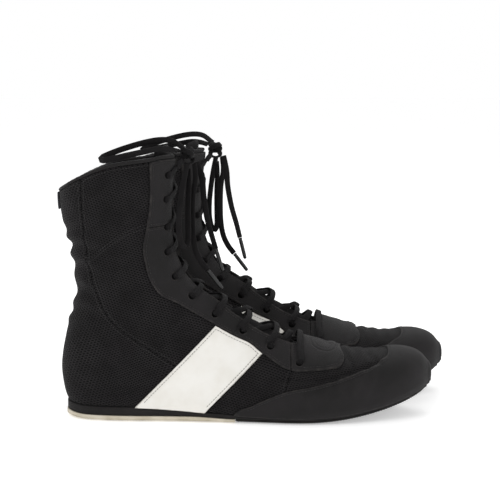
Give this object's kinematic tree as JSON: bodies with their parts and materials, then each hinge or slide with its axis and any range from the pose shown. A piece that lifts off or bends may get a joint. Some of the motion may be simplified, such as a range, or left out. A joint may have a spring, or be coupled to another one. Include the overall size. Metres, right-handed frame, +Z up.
{
  "type": "boxing boots, pair",
  "caption": "Pair of high lace-up boxing boots: mesh uppers with dark overlays, a broad pale side band, long laced throat and thin soles.",
  "frame": {"origin": "middle of the footprint of the two boots, on the ground, free lace ends left out", "axes": "+Z up, +X towards the toes, +Y from the right boot to the left boot"},
  "size_m": [0.304, 0.2038, 0.2138],
  "materials": {
    "mesh_cloth": "dark air mesh, matte",
    "suede": "dark suede-like microfibre, matte",
    "white_synthetic": "white coated synthetic, satin",
    "heel_rubber": "pale cream rubber, matte",
    "dark_rubber": "black rubber, matte",
    "dark_foxing": "dark foam midsole band, matte",
    "insole_foam": "cloth-topped foam, matte",
    "board": "pressed fibre board, matte",
    "lining_cloth": "brown-black lining cloth",
    "tongue_cloth": "padded tongue cloth, matte",
    "webbing": "grey woven webbing",
    "lace_cord": "black flat woven lace",
    "lace_tip": "glossy black plastic tip"
  },
  "bodies": {
    "right_boot": {"right_outsole_heel": "heel_rubber", "right_outsole_forefoot": "dark_rubber", "right_midsole": "dark_foxing", "right_insole_board": "board", "right_insole": "insole_foam", "right_heel_counter": "board", "right_toe_puff": "board", "right_lining": "lining_cloth", "right_quarter_lateral": "mesh_cloth", "right_quarter_medial": "mesh_cloth", "right_back_panel": "mesh_cloth", "right_vamp": "mesh_cloth", "right_toe_rand": "suede", "right_eyestay_lateral": "suede", "right_eyestay_medial": "suede", "right_vamp_tab": "suede", "right_side_band_lateral": "white_synthetic", "right_side_band_medial": "white_synthetic", "right_collar_binding": "suede", "right_pull_tab": "webbing", "right_lace": "lace_cord", "right_lace_knot": "lace_cord", "right_lace_loop_back": "lace_cord", "right_lace_loop_front": "lace_cord", "right_lace_tail_lateral": "lace_cord", "right_aglet_lateral": "lace_tip", "right_lace_tail_medial": "lace_cord", "right_aglet_medial": "lace_tip"},
    "right_tongue": {"right_tongue": "tongue_cloth"},
    "left_boot": {"left_outsole_heel": "heel_rubber", "left_outsole_forefoot": "dark_rubber", "left_midsole": "dark_foxing", "left_insole_board": "board", "left_insole": "insole_foam", "left_heel_counter": "board", "left_toe_puff": "board", "left_lining": "lining_cloth", "left_quarter_lateral": "mesh_cloth", "left_quarter_medial": "mesh_cloth", "left_back_panel": "mesh_cloth", "left_vamp": "mesh_cloth", "left_toe_rand": "suede", "left_eyestay_lateral": "suede", "left_eyestay_medial": "suede", "left_vamp_tab": "suede", "left_side_band_lateral": "white_synthetic", "left_side_band_medial": "white_synthetic", "left_collar_binding": "suede", "left_pull_tab": "webbing", "left_lace": "lace_cord", "left_lace_knot": "lace_cord", "left_lace_loop_back": "lace_cord", "left_lace_loop_front": "lace_cord", "left_lace_tail_lateral": "lace_cord", "left_aglet_lateral": "lace_tip", "left_lace_tail_medial": "lace_cord", "left_aglet_medial": "lace_tip"},
    "left_tongue": {"left_tongue": "tongue_cloth"}
  },
  "joints": [
    {"name": "left_boot_lift", "type": "slide", "parent": "right_boot", "child": "left_boot", "axis": [0, 0, 1], "range_m": [0, 0.25]},
    {"name": "right_tongue_fold", "type": "hinge", "parent": "right_boot", "child": "right_tongue", "pos_m": [0.042, -0.054, 0.05], "axis": [0, 1, 0], "range_deg": [-6, 0], "stiffness_Nm_per_rad": 2},
    {"name": "left_tongue_fold", "type": "hinge", "parent": "left_boot", "child": "left_tongue", "pos_m": [0.061, 0.054, 0.05], "axis": [0, 1, 0], "range_deg": [-6, 0], "stiffness_Nm_per_rad": 2}
  ]
}
